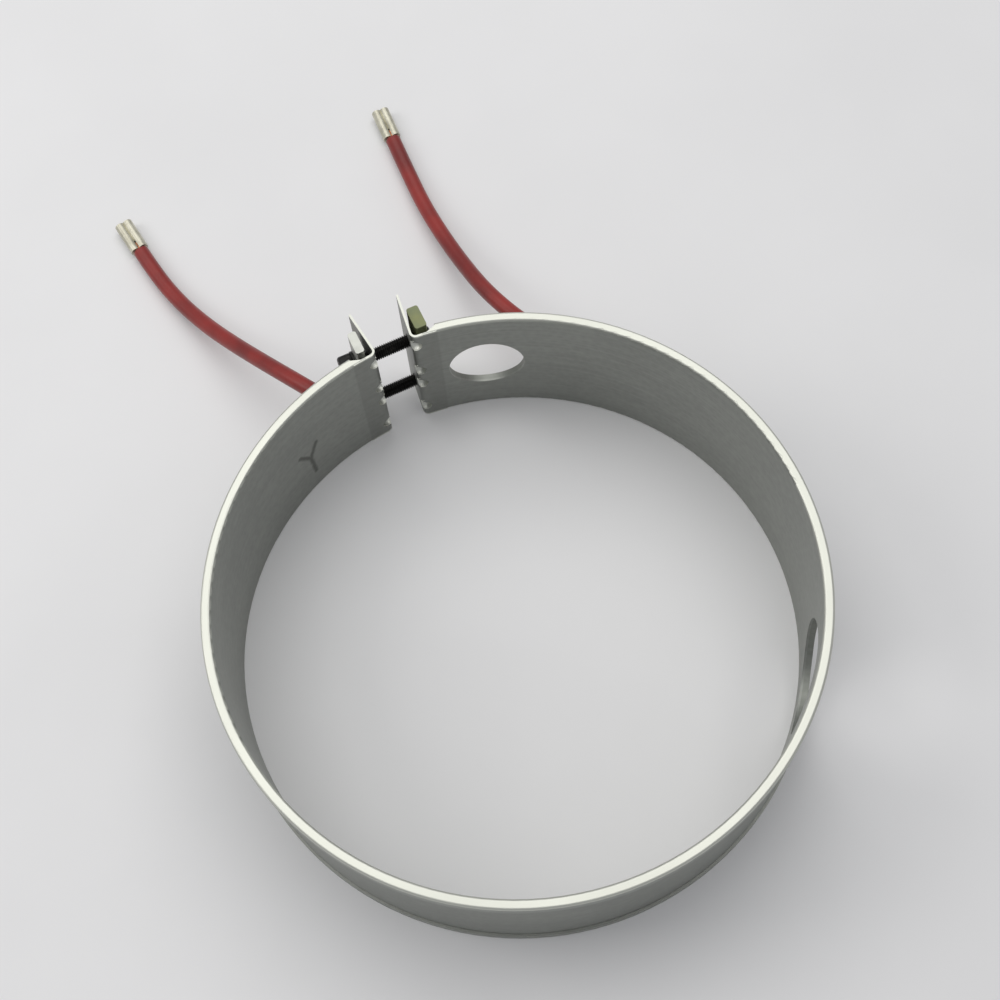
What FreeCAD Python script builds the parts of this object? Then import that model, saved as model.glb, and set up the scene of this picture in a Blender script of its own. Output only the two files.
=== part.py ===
"""Mica band heater for a plastics barrel: a sandwich of sheet steel, mica and wound ribbon, clamped by two screws.

Frame: millimetres, +Z up. The Z axis is the barrel's axis, z = 0 is the band's lower rim and the clamping gap
faces +Y. Angles are degrees from +X. The screws lie along X, with their heads on the -X side of the gap.
"""
import FreeCAD, Part
import math
import os
import re

import Sketcher
from FreeCAD import Placement, Rotation, Vector

SIZES = (
    ("barrel_radius", 100.0, "radius of the barrel that the band clamps"),
    ("band_width", 60.0, "width of the band, along the barrel"),
    ("sheath_wall", 0.8, "sheet of the inner sheath, with its folds and ears"),
    ("cover_wall", 0.5, "sheet of the outer cover and its collars"),
    ("mica_wall", 0.35, "each of the two insulating mica sheets"),
    ("core_wall", 0.5, "mica core that carries the winding"),
    ("ribbon_wall", 0.15, "resistance ribbon and terminal strips"),
    ("lip_width", 5.0, "folded lips that hold the cover along both rims"),
    ("fold_radius", 1.0, "outside radius of the folded rims"),
    ("fold_end", 15.9, "round the barrel, from the middle of the gap to the end of the folds"),
    ("fold_taper", 4.2, "round the barrel, over which each fold runs out towards its ear"),
    ("sheet_clearance", 0.5, "from the folds and the collars to the sheets inside"),
    ("layer_setback", 1.4, "round the barrel, from the folds' end to the mica"),
    ("gap_width", 13.6, "between the ears, at their roots"),
    ("bend_radius", 1.5, "inside radius of the bend at each ear's root"),
    ("ear_length", 16.5, "flat part of each ear"),
    ("ear_lean", 7.0, "angle by which each ear leans away from the gap"),
    ("gusset_radius", 2.9, "ball of the dimples that stiffen the bends"),
    ("gusset_spacing", 10.0, "between the two middle dimples of an ear"),
    ("gusset_inset", 7.0, "from each rim to the nearest dimple"),
    ("sensor_hole_radius", 14.0, "smaller hole through the band"),
    ("sensor_hole_reach", 32.6, "round the barrel, from the middle of the gap to the smaller hole"),
    ("port_hole_radius", 20.0, "larger hole through the band"),
    ("port_hole_angle", -38.1, "where the larger hole is, from +X"),
    ("screw_radius", 2.5, "clamping screw's thread"),
    ("screw_length", 30.0, "under the head"),
    ("screw_spacing", 30.0, "between the two screws"),
    ("screw_stand", 7.2, "from the sheath's outer face to the screws' axes"),
    ("screw_chamfer", 0.6, "at the screw's tip"),
    ("head_radius", 4.25, "socket head"),
    ("head_height", 5.0, "socket head"),
    ("head_edge", 0.4, "bevel round the top of the head"),
    ("socket_flats", 4.0, "hexagon socket, across its flats"),
    ("socket_depth", 2.5, "hexagon socket"),
    ("screw_hole_clearance", 0.3, "round the screw in the ears and the head bar"),
    ("thread_clearance", 0.05, "round the screw in the nut bar"),
    ("washer_radius", 4.5, "under each head"),
    ("washer_wall", 1.0, "under each head"),
    ("washer_clearance", 0.1, "round the screw"),
    ("bar_standoff", 2.2, "from an ear's root to the bar behind it"),
    ("bar_width", 9.0, "both bars, away from the barrel"),
    ("bar_inset", 1.5, "from each rim to the bars' ends"),
    ("bar_edge", 0.9, "rounding of the bars' long edges"),
    ("head_bar_wall", 3.2, "bar under the screw heads"),
    ("nut_bar_wall", 4.4, "tapped bar"),
    ("ribbon_width", 4.0, "resistance ribbon"),
    ("ribbon_pitch", 12.0, "between turns of the ribbon, round the band"),
    ("core_inset", 1.2, "from the mica sheets' edges to the core's"),
    ("terminal_width", 10.0, "terminal strips, round the band"),
    ("terminal_height", 16.0, "terminal strips, along the barrel"),
    ("terminal_clearance", 0.05, "from a terminal strip to the ribbon beside it"),
    ("left_exit_reach", 25.3, "round the barrel, from the middle of the gap to the left lead"),
    ("right_exit_reach", 55.0, "round the barrel, from the middle of the gap to the right lead"),
    ("lead_radius", 3.1, "over the insulation"),
    ("conductor_radius", 1.5, "stranded conductor"),
    ("exit_run", 9.2, "straight lead, out from the cover"),
    ("lead_lift", 0.2, "from the table to each lead where it lies"),
    ("eyelet_wall", 0.5, "neck of the eyelet round each lead"),
    ("eyelet_clearance", 0.05, "round the lead in its eyelet"),
    ("eyelet_seat", 0.1, "round the eyelet in the cover"),
    ("eyelet_height", 3.5, "eyelet above the cover"),
    ("eyelet_flange", 1.6, "flange beyond the eyelet's neck"),
    ("flange_wall", 0.6, "eyelet's flange"),
    ("stripped_length", 1.2, "bare conductor between the insulation and the crimp"),
    ("crimp_length", 14.5, "crimp on each lead's end"),
    ("crimp_grip", 4.0, "whole conductor inside the crimp"),
    ("lobe_radius", 2.0, "each of the crimp's two rolled lobes"),
    ("lobe_spacing", 3.3, "between the lobes' middles"),
    ("lobe_mouth_wall", 0.7, "rolled sheet round the mouth of each lobe"),
    ("lobe_mouth_depth", 1.6, "open end of each lobe"),
)

# Radii of the stacked layers, from the barrel outwards.
WEB_OUTER = "(barrel_radius + sheath_wall)"
WINDING_INNER = f"({WEB_OUTER} + mica_wall)"
CORE_INNER = f"({WINDING_INNER} + ribbon_wall)"
CORE_OUTER = f"({CORE_INNER} + core_wall)"
WINDING_OUTER = f"({CORE_OUTER} + ribbon_wall)"
COVER_INNER = f"({WINDING_OUTER} + mica_wall)"
COVER_OUTER = f"({COVER_INNER} + cover_wall)"
BAND_OUTER = f"({COVER_OUTER} + sheath_wall)"

MIDDLE = "(band_width / 2)"
SHEET_EDGE = "(sheath_wall + sheet_clearance)"
CORE_EDGE = f"({SHEET_EDGE} + core_inset)"
FOLD_END = "(fold_end / barrel_radius * 180 / pi)"
FOLD_TAPER = "(fold_taper / barrel_radius * 180 / pi)"
LAYER_END = "((fold_end + layer_setback) / barrel_radius * 180 / pi)"
SCREW_Y = f"({WEB_OUTER} + screw_stand)"
BAR_FACE = "(gap_width / 2 + sheath_wall + bar_standoff)"
HEAD_SEAT = f"({BAR_FACE} + head_bar_wall + washer_wall)"
SCREW_HEIGHTS = {"lower": f"({MIDDLE} - screw_spacing / 2)", "upper": f"({MIDDLE} + screw_spacing / 2)"}
THROUGH_HOLES = (("sensor", "sensor_hole_radius", "(90 - sensor_hole_reach / barrel_radius * 180 / pi)"),
                 ("port", "port_hole_radius", "port_hole_angle"))
EXITS = {"left": "(90 + left_exit_reach / barrel_radius * 180 / pi)",
         "right": "(90 - right_exit_reach / barrel_radius * 180 / pi)"}
EYELET_BORE = "(lead_radius + eyelet_clearance)"
EYELET_NECK = f"({EYELET_BORE} + eyelet_wall)"

# Each lead's route beyond its exit run, chosen by hand: it sags to the table and ends at its crimp. A point is
# millimetres along X and along Y from the end of the exit run, and its height as a share of the exit's.
LEAD_ROUTES = {
    "left": ((-6.7, 12.4, 0.91), (-13.6, 27.1, 0.7), (-20.6, 43.3, 0.438), (-27.3, 59.6, 0.213),
             (-33.3, 76.7, 0.064), (-37.6, 94.3, 0), (-39.6, 108.5, 0)),
    "right": ((0.4, 10.5, 0.903), (-7.8, 20.4, 0.663), (-11, 36.9, 0.446), (-12.6, 53.9, 0.258),
              (-13.7, 71.3, 0.127), (-14.2, 89.5, 0.041), (-13.3, 108.7, 0), (-12.4, 125.9, 0)),
}
BEND_SHARE = 0.45

doc = FreeCAD.newDocument("BandHeater")
sheet = doc.addObject("Spreadsheet::Sheet", "Sizes")
for row, (alias, number, meaning) in enumerate(SIZES, start=1):
    sheet.set(f"A{row}", meaning)
    sheet.set(f"B{row}", str(number))
    sheet.setAlias(f"B{row}", alias)
doc.recompute()


def in_sheet(expression):
    """The expression with each size's name pointed at the spreadsheet."""
    return re.sub(r"\b([a-z]+(?:_[a-z]+)+)\b", r"Sizes.\1", expression)


def size(expression):
    """The expression's value now."""
    return float(sheet.evalExpression(in_sheet(expression)))


def bind(thing, **expressions):
    """Ties properties of an object to the spreadsheet."""
    for name, expression in expressions.items():
        thing.setExpression(name, in_sheet(expression))


def place(thing, position, turn=("0", "0", "0")):
    """Ties an object's placement to the spreadsheet: a position, then yaw, pitch and roll."""
    where = f"placement(vector({'; '.join(position)}); rotation({'; '.join(turn)}))"
    bind(thing, Placement=where)


# Sketches and features

def new_body(label):
    """An empty body that is a sub-part of its own."""
    body = doc.addObject("PartDesign::Body", label)
    body.Label = label
    return body


def new_sketch(body, name, role, lift=None, turn=None):
    """A sketch on one of the body's own planes, lifted along its normal or turned about its vertical axis."""
    drawing = body.newObject("Sketcher::SketchObject", name)
    plane = next(feature for feature in body.Origin.OriginFeatures if feature.Role == role)
    drawing.AttachmentSupport = [(plane, "")]
    drawing.MapMode = "FlatFace"
    if lift is not None:
        drawing.setExpression("AttachmentOffset.Base.z", in_sheet(lift))
    if turn is not None:
        drawing.AttachmentOffset = Placement(Vector(), Rotation(Vector(0, 1, 0), 1))
        drawing.setExpression("AttachmentOffset.Rotation.Angle", in_sheet(turn))
    return drawing


def constrain(drawing, kind, *where, to=None):
    """Adds a constraint, with its datum tied to an expression where it has one."""
    if to is None:
        drawing.addConstraint(Sketcher.Constraint(kind, *where))
        return
    value = math.radians(size(to)) if kind == "Angle" else size(to)
    index = drawing.addConstraint(Sketcher.Constraint(kind, *where, value))
    drawing.setExpression(f"Constraints[{index}]", in_sheet(to))


def locate(drawing, element, point, x, y):
    """Dimensions a point of the sketch from its origin."""
    for kind, axis, coordinate in (("DistanceX", -2, x), ("DistanceY", -1, y)):
        value = size(coordinate)
        if abs(value) < 1e-9:
            constrain(drawing, "PointOnObject", element, point, axis)
        elif value > 0:
            constrain(drawing, kind, -1, 1, element, point, to=coordinate)
        else:
            constrain(drawing, kind, element, point, -1, 1, to=f"-({coordinate})")


def outline(drawing, corners):
    """A closed polygon whose corners are each dimensioned from the origin."""
    points = [Vector(size(x), size(y), 0) for x, y in corners]
    first = drawing.GeometryCount
    for start, end in zip(points, points[1:] + points[:1]):
        drawing.addGeometry(Part.LineSegment(start, end))
    for number, (x, y) in enumerate(corners):
        before = first + (number - 1) % len(corners)
        constrain(drawing, "Coincident", before, 2, first + number, 1)
        locate(drawing, first + number, 1, x, y)


def circle(drawing, radius, x, y):
    """A circle, with its radius and middle dimensioned."""
    element = drawing.addGeometry(Part.Circle(Vector(size(x), size(y), 0), Vector(0, 0, 1), size(radius)))
    constrain(drawing, "Radius", element, to=radius)
    locate(drawing, element, 3, x, y)


def pad(body, drawing, name, length):
    """Adds material along the sketch's normal."""
    feature = body.newObject("PartDesign::Pad", name)
    feature.Profile = drawing
    bind(feature, Length=length)
    doc.recompute()
    return feature


def cut(body, drawing, name, length, symmetric=False, reverse=False):
    """Takes material away and makes sure that some went."""
    before = body.Shape.Volume
    feature = body.newObject("PartDesign::Pocket", name)
    feature.Profile = drawing
    feature.SideType = "Symmetric" if symmetric else "One side"
    feature.Reversed = reverse
    bind(feature, Length=length)
    doc.recompute()
    if body.Shape.Volume >= before:
        raise RuntimeError(f"{name} removes nothing")
    return feature


def revolve(body, drawing, name, axis, angle="360"):
    """Turns the sketch about one of its own axes, half the angle each way."""
    feature = body.newObject("PartDesign::Revolution", name)
    feature.Profile = drawing
    feature.ReferenceAxis = (drawing, [axis])
    feature.Midplane = True
    bind(feature, Angle=angle)
    doc.recompute()
    return feature


def round_edges(body, name, wanted, radius):
    """Rounds the edges of the body's tip that the test picks out."""
    before = body.Tip
    names = [f"Edge{number}" for number, edge in enumerate(before.Shape.Edges, start=1) if wanted(edge)]
    if not names:
        raise RuntimeError(f"{name} finds no edge")
    feature = body.newObject("PartDesign::Fillet", name)
    feature.Base = (before, names)
    bind(feature, Radius=radius)
    doc.recompute()
    return feature


def radial_hole(body, name, radius, angle):
    """A round hole through the band's wall, square to the barrel's axis, at half the band's width."""
    drawing = new_sketch(body, f"{name}_circle", "XZ_Plane", turn=f"{angle} - 90")
    circle(drawing, radius, "0", MIDDLE)
    cut(body, drawing, name, f"{BAND_OUTER} * 1.2")


def is_rim(edge, radius, height):
    """Whether an edge is a rim of this radius about the barrel's axis, at this height."""
    curve = edge.Curve
    if not isinstance(curve, Part.Circle):
        return False
    centre = curve.Center
    level = Vector(centre.x, centre.y, 0).Length < 1e-6 and abs(centre.z - height) < 1e-6
    return level and abs(curve.Radius - radius) < 1e-6


def boolean(kind, name, base, tool):
    """A cut, fuse or common of two objects."""
    result = doc.addObject(f"Part::{kind}", name)
    result.Label = name
    result.Base = base
    result.Tool = tool
    doc.recompute()
    return result


def feature_of(name, shape):
    """A sub-part or tool whose shape is worked out here from the spreadsheet's values."""
    result = doc.addObject("Part::Feature", name)
    result.Label = name
    result.Shape = shape
    result.Placement = Placement()
    return result


def radial_cylinder(name, radius, angle):
    """A cylinder from the barrel's axis out through the band, for holes and their collars."""
    result = doc.addObject("Part::Cylinder", name)
    bind(result, Radius=radius, Height=f"{BAND_OUTER} * 1.2")
    place(result, ("0", "0", MIDDLE), (angle, "90", "0"))
    return result


def shell(inner, outer, low, high):
    """A full ring about the barrel's axis, between two radii and two heights."""
    base = Vector(0, 0, size(low))
    height = size(high) - size(low)
    return Part.makeCylinder(size(outer), height, base).cut(Part.makeCylinder(size(inner), height, base))


def polar(angle, radius, height):
    """The point at an angle in degrees, a distance from the barrel's axis and a height."""
    turn = math.radians(angle)
    return Vector(radius * math.cos(turn), radius * math.sin(turn), height)


# The sheath: a folded channel whose ends are bent out into ears

def bend_middle():
    """Where the bend of the +X ear has its centre, and the directions to the barrel's axis and the ear."""
    lean = math.radians(size("ear_lean"))
    outside = size("bend_radius + sheath_wall")
    x = size("gap_width") / 2 + outside * math.cos(lean)
    distance = size("barrel_radius") + outside
    middle = Vector(x, math.sqrt(distance ** 2 - x ** 2), 0)
    to_axis = middle * (-1 / distance)
    to_ear = Vector(-math.cos(lean), math.sin(lean), 0)
    return middle, to_axis, to_ear


def ear_outline(drawing, side):
    """The end of the sheath beyond its folds, seen along the barrel: web, bend and ear, on the side +1 or -1."""
    middle, to_axis, to_ear = bend_middle()
    along = Vector(to_ear.y, -to_ear.x, 0)
    outside = size("bend_radius + sheath_wall")
    inside = size("bend_radius")
    length = size("ear_length")
    end = math.radians(90 - size(FOLD_END))
    start = math.atan2(middle.y, middle.x)

    def flip(point):
        return Vector(point.x * side, point.y, 0)

    def arc(centre, radius, first, last):
        middle_turn = (first + last) / 2
        turns = (first, middle_turn, last)
        points = [flip(centre + Vector(math.cos(turn), math.sin(turn), 0) * radius) for turn in turns]
        return Part.Arc(*points)

    bend_from = math.atan2(to_axis.y, to_axis.x) % (2 * math.pi)
    bend_to = math.atan2(to_ear.y, to_ear.x)
    tip = along * length
    elements = drawing.addGeometry([
        arc(Vector(), size("barrel_radius"), end, start),
        arc(middle, outside, bend_from, bend_to),
        Part.LineSegment(flip(middle + to_ear * outside), flip(middle + to_ear * outside + tip)),
        Part.LineSegment(flip(middle + to_ear * outside + tip), flip(middle + to_ear * inside + tip)),
        Part.LineSegment(flip(middle + to_ear * inside + tip), flip(middle + to_ear * inside)),
        arc(middle, inside, bend_to, bend_from),
        arc(Vector(), size(WEB_OUTER), start, end),
        Part.LineSegment(flip(polar(math.degrees(end), size(WEB_OUTER), 0)),
                         flip(polar(math.degrees(end), size("barrel_radius"), 0))),
    ])
    web, outer_bend, gap_line, tip_line, back_line, inner_bend, outer_web, end_line = elements
    join_ends(drawing, elements, {web, outer_bend, gap_line, back_line, inner_bend, outer_web, end_line})
    for element, radius in ((web, "barrel_radius"), (outer_web, WEB_OUTER)):
        constrain(drawing, "Coincident", element, 3, -1, 1)
        constrain(drawing, "Radius", element, to=radius)
    constrain(drawing, "Coincident", outer_bend, 3, inner_bend, 3)
    constrain(drawing, "Radius", inner_bend, to="bend_radius")
    constrain(drawing, "Parallel", gap_line, back_line)
    constrain(drawing, "Perpendicular", gap_line, tip_line)
    constrain(drawing, "Distance", gap_line, to="ear_length")
    constrain(drawing, "Angle", gap_line, to=f"90 - {side} * ear_lean")
    constrain(drawing, "PointOnObject", -1, 1, end_line)
    constrain(drawing, "Angle", end_line, to=f"-90 - {side} * {FOLD_END}")
    root = (-1, 1, gap_line, 1) if side > 0 else (gap_line, 1, -1, 1)
    constrain(drawing, "DistanceX", *root, to="gap_width / 2")


def nearest_ends(drawing, one, other):
    """The end numbers, 1 or 2, at which two elements of a sketch meet."""
    pairs = [(first, second) for first in (1, 2) for second in (1, 2)]
    return min(pairs, key=lambda ends: drawing.getPoint(one, ends[0]).distanceToPoint(
        drawing.getPoint(other, ends[1])))


def join_ends(drawing, elements, smooth):
    """Joins each element to the next, tangent where both are curved or straight runs that flow on."""
    for one, other in zip(elements, elements[1:] + elements[:1]):
        first, second = nearest_ends(drawing, one, other)
        curved = any(isinstance(drawing.Geometry[item], Part.ArcOfCircle) for item in (one, other))
        radial = elements[-1] in (one, other)
        kind = "Tangent" if curved and not radial and {one, other} <= smooth else "Coincident"
        constrain(drawing, kind, one, first, other, second)


def channel_corners():
    """The folded sheath's section beside the gap's far side, as distances from the axis and heights."""
    lip = f"({BAND_OUTER} - sheath_wall)"
    section = (("barrel_radius", "0"), (BAND_OUTER, "0"), (BAND_OUTER, "lip_width"), (lip, "lip_width"),
               (lip, "sheath_wall"), (WEB_OUTER, "sheath_wall"),
               (WEB_OUTER, "band_width - sheath_wall"), (lip, "band_width - sheath_wall"),
               (lip, "band_width - lip_width"), (BAND_OUTER, "band_width - lip_width"),
               (BAND_OUTER, "band_width"), ("barrel_radius", "band_width"))
    return [(f"-{radius}", height) for radius, height in section]


def add_fold_end(body, side, level, name, height):
    """The flange of a fold, running out along the web towards the ear."""
    drawing = new_sketch(body, f"{name}_outline", "XY_Plane", lift=height)
    start = f"(90 - {side} * {FOLD_END})"
    stop = f"(90 - {side} * ({FOLD_END} - {FOLD_TAPER}))"
    inside = "(barrel_radius + sheath_wall / 2)"
    outside = f"({BAND_OUTER} - fold_radius)"
    outline(drawing, [(f"{radius} * cos({angle} * 1 deg)", f"{radius} * sin({angle} * 1 deg)")
                      for radius, angle in ((inside, start), (outside, start), (inside, stop))])
    pad(body, drawing, name, "sheath_wall")


def sheath_strip():
    """The sheath before its dimples are pressed: folded channel, ears, and every hole."""
    body = new_body("sheath_strip")
    section = new_sketch(body, "channel_section", "YZ_Plane")
    outline(section, channel_corners())
    revolve(body, section, "channel", "V_Axis", f"360 - 2 * {FOLD_END}")
    band = (size("barrel_radius"), size(BAND_OUTER))
    rims = (0.0, size("band_width"))
    round_edges(body, "fold_outside",
                lambda edge: any(is_rim(edge, radius, height) for radius in band for height in rims), "fold_radius")
    pockets = (size(WEB_OUTER), size(f"{BAND_OUTER} - sheath_wall"))
    inner_rims = (size("sheath_wall"), size("band_width - sheath_wall"))
    round_edges(body, "fold_inside",
                lambda edge: any(is_rim(edge, radius, height) for radius in pockets for height in inner_rims),
                "fold_radius - sheath_wall")
    for side, name in ((1, "right"), (-1, "left")):
        drawing = new_sketch(body, f"{name}_ear_outline", "XY_Plane")
        ear_outline(drawing, side)
        pad(body, drawing, f"{name}_ear", "band_width")
        add_fold_end(body, side, 0, f"{name}_lower_fold_end", "0")
        add_fold_end(body, side, 1, f"{name}_upper_fold_end", "band_width - sheath_wall")
    for name, radius, angle in THROUGH_HOLES:
        radial_hole(body, f"sheath_{name}_hole", radius, angle)
    drawing = new_sketch(body, "ear_hole_circles", "YZ_Plane")
    for height in SCREW_HEIGHTS.values():
        circle(drawing, "screw_radius + screw_hole_clearance", SCREW_Y, height)
    cut(body, drawing, "ear_holes", f"2 * {BAR_FACE}", symmetric=True)
    return body


def gusset_balls(radius, trimmed):
    """Balls of one radius in both bends: whole, or trimmed to what lies behind the middle of the sheet."""
    middle, to_axis, to_ear = bend_middle()
    corner = to_axis + to_ear
    corner.normalize()
    pressed = middle + corner * size("bend_radius + sheath_wall")
    half_wall = size("bend_radius + sheath_wall / 2")
    along_ear = Vector(to_ear.y, -to_ear.x, 0)
    along_web = Vector(-to_axis.y, to_axis.x, 0)
    reach = size("gusset_radius + sheath_wall") * 2
    root = middle + to_axis * half_wall + to_ear * half_wall
    behind = [root, root + along_web * reach, root + (along_web + along_ear) * reach, root + along_ear * reach]
    heights = [size(height) for height in (
        "gusset_inset", f"{MIDDLE} - gusset_spacing / 2", f"{MIDDLE} + gusset_spacing / 2",
        "band_width - gusset_inset")]
    block = Part.Face(Part.makePolygon(behind + behind[:1])).extrude(Vector(0, 0, size("band_width")))
    balls = []
    for height in heights:
        ball = Part.makeSphere(radius, Vector(pressed.x, pressed.y, height))
        balls.append(ball.common(block).Solids[0] if trimmed else ball)
    balls += [ball.mirror(Vector(), Vector(1, 0, 0)) for ball in balls]
    return Part.makeCompound(balls)


def inner_sheath():
    """The sheath, with the dimples pressed into its bends."""
    ribs = feature_of("gusset_ribs", gusset_balls(size("gusset_radius + sheath_wall"), True))
    dimples = feature_of("gusset_dimples", gusset_balls(size("gusset_radius"), False))
    ribbed = boolean("Fuse", "ribbed_sheath", sheath_strip(), ribs)
    return boolean("Cut", "inner_sheath", ribbed, dimples)


# The layers inside the folds

def ring_layer(label, inner, outer, edge, end):
    """A sheet bent round the barrel, between two radii, an edge's distance from each rim."""
    body = new_body(label)
    section = new_sketch(body, f"{label}_section", "YZ_Plane")
    top = f"band_width - {edge}"
    outline(section, [(f"-{outer}", edge), (f"-{inner}", edge), (f"-{inner}", top), (f"-{outer}", top)])
    revolve(body, section, f"{label}_ring", "V_Axis", f"360 - 2 * {end}")
    return body


def mica_layer(label, inner, outer, edge, lead_hole=None):
    """A mica sheet, cut away round the collars of the through holes and, in the outer one, round the leads."""
    body = ring_layer(label, inner, outer, edge, LAYER_END)
    for name, radius, angle in THROUGH_HOLES:
        radial_hole(body, f"{label}_{name}_hole", f"{radius} + cover_wall + sheet_clearance", angle)
    if lead_hole is not None:
        for name, angle in EXITS.items():
            radial_hole(body, f"{label}_{name}_lead_hole", lead_hole, angle)
    return body


def cover_sheet():
    """The outer cover, with collars drawn inwards to line the through holes, and holes for the eyelets."""
    ring = ring_layer("cover_ring", COVER_INNER, COVER_OUTER, SHEET_EDGE, FOLD_END)
    for name, angle in EXITS.items():
        radial_hole(ring, f"cover_{name}_eyelet_hole", f"{EYELET_NECK} + eyelet_seat", angle)
    depth = feature_of("collar_depth", shell(WEB_OUTER, COVER_OUTER, SHEET_EDGE, f"band_width - {SHEET_EDGE}"))
    result = ring
    for name, radius, angle in THROUGH_HOLES:
        plug = radial_cylinder(f"{name}_collar_outside", f"{radius} + cover_wall", angle)
        collar = boolean("Common", f"{name}_collar", plug, depth)
        result = boolean("Fuse", f"cover_with_{name}_collar", result, collar)
    for name, radius, angle in THROUGH_HOLES:
        bore = radial_cylinder(f"{name}_collar_inside", radius, angle)
        result = boolean("Cut", f"cover_with_{name}_hole", result, bore)
    result.Label = "cover_sheet"
    return result


def band_patch(corners, angle, inner, outer):
    """A patch of sheet bent to the barrel: an outline of (distance round, height) cut out of a thin shell."""
    reach = size(outer) + 1
    start = size(inner) - 1
    points = [Vector(start, across, height) for across, height in corners]
    prism = Part.Face(Part.makePolygon(points + points[:1])).extrude(Vector(reach - start, 0, 0))
    prism.rotate(Vector(), Vector(0, 0, 1), angle)
    return prism.common(shell(inner, outer, "0", "band_width")).Solids[0]


def winding_stretches():
    """The angles of the winding's turns, in a stretch on each side of the port hole."""
    middle = size(CORE_OUTER)
    beside = math.degrees(size("(terminal_width + ribbon_width) / 2 + terminal_clearance") / middle)
    clear = size("port_hole_radius + cover_wall + 2 * sheet_clearance + ribbon_width / 2")
    port_half = math.degrees(math.asin(clear / middle))
    first = size(EXITS["right"]) - beside
    last = size(EXITS["left"]) - 360 + beside
    port = size("port_hole_angle")
    step = math.degrees(size("ribbon_pitch") / middle)
    stretches = []
    for start, stop in ((first, port + port_half), (port - port_half, last)):
        count = max(1, round((start - stop) / step))
        stretches.append([start + (stop - start) * number / count for number in range(count + 1)])
    return stretches


def resistance_ribbon():
    """The ribbon wound round the core: upright outside, slanting inside, and past the port hole along the top."""
    half = size("ribbon_width") / 2
    low, high = size(CORE_EDGE), size(f"band_width - {CORE_EDGE}")
    wall = size("ribbon_wall")
    before, after = winding_stretches()
    pieces = []
    for angle in before + after:
        upright = [(-half, low - wall), (half, low - wall), (half, high + wall), (-half, high + wall)]
        pieces.append(band_patch(upright, angle, CORE_OUTER, WINDING_OUTER))
        for base in (low - wall, high):
            over = [(-half, base), (half, base), (half, base + wall), (-half, base + wall)]
            pieces.append(band_patch(over, angle, WINDING_INNER, CORE_OUTER))
    for stretch in (before, after):
        for start, stop in zip(stretch, stretch[1:]):
            lean = math.radians(start - stop) / 2 * size(CORE_INNER)
            slanted = [(lean - half, low), (lean + half, low), (half - lean, high), (-lean - half, high)]
            pieces.append(band_patch(slanted, (start + stop) / 2, WINDING_INNER, CORE_INNER))
    span = before[-1] - after[0]
    bridge = shell(CORE_OUTER, WINDING_OUTER, f"band_width - {CORE_EDGE} - ribbon_width",
                   f"band_width - {CORE_EDGE}")
    sector = Part.makeCylinder(size(BAND_OUTER), size("band_width"), Vector(), Vector(0, 0, 1), span)
    sector.rotate(Vector(), Vector(0, 0, 1), after[0])
    pieces.append(bridge.common(sector).Solids[0])
    return feature_of("resistance_ribbon", pieces[0].fuse(pieces[1:]).removeSplitter().Solids[0])


def terminal_strip(name, angle):
    """The strip that the winding's end and the lead's conductor are welded to."""
    half = size("terminal_width") / 2
    low = size(f"{MIDDLE} - terminal_height / 2")
    high = size(f"{MIDDLE} + terminal_height / 2")
    corners = [(-half, low), (half, low), (half, high), (-half, high)]
    return feature_of(f"terminal_{name}", band_patch(corners, size(angle), CORE_OUTER, WINDING_OUTER))


# The leads

def eyelet(name, angle):
    """A flanged eyelet in the cover, about the lead. Its own X axis is the lead's."""
    body = new_body(f"eyelet_{name}")
    drawing = new_sketch(body, f"eyelet_{name}_section", "XY_Plane")
    top = f"({COVER_OUTER} + eyelet_height)"
    flange_top = f"({COVER_OUTER} + flange_wall)"
    rim = f"({EYELET_NECK} + eyelet_flange)"
    outline(drawing, [(COVER_INNER, EYELET_BORE), (top, EYELET_BORE), (top, EYELET_NECK),
                      (flange_top, EYELET_NECK), (flange_top, rim), (COVER_OUTER, rim),
                      (COVER_OUTER, EYELET_NECK), (COVER_INNER, EYELET_NECK)])
    revolve(body, drawing, f"eyelet_{name}_turned", "H_Axis")
    place(body, ("0", "0", MIDDLE), (angle, "0", "0"))
    doc.recompute()
    return body


def lead_points(name):
    """The whole route of a lead's insulation, from the cover to its stripped end."""
    angle = size(EXITS[name])
    inside, end = [polar(angle, size(radius), size(MIDDLE)) for radius in (COVER_INNER, f"{COVER_OUTER} + exit_run")]
    rest = size("lead_radius + lead_lift")
    points = [inside, end]
    for across, outwards, share in LEAD_ROUTES[name]:
        points.append(Vector(end.x + across, end.y + outwards, rest + (end.z - rest) * share))
    return points


def route_wire(points, before=0.0, after=0.0):
    """Straight runs joined by tangent arcs, lengthened at its ends, with the arcs' radii."""
    start = points[0] - (points[1] - points[0]).normalize() * before
    end = points[-1] + (points[-1] - points[-2]).normalize() * after
    edges, radii = [], []
    for previous, corner, following in zip(points, points[1:], points[2:]):
        back, ahead = previous - corner, following - corner
        reach = BEND_SHARE * min(back.Length, ahead.Length)
        half_turn = (math.pi - back.getAngle(ahead)) / 2
        radius = reach / math.tan(half_turn)
        back.normalize()
        ahead.normalize()
        inwards = (back + ahead).normalize()
        on_arc = corner + inwards * (radius / math.cos(half_turn) - radius)
        first, last = corner + back * reach, corner + ahead * reach
        edges.append(Part.LineSegment(start, first).toShape())
        edges.append(Part.Arc(first, on_arc, last).toShape())
        radii.append(radius)
        start = last
    edges.append(Part.LineSegment(start, end).toShape())
    return Part.Wire(edges), radii


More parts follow.
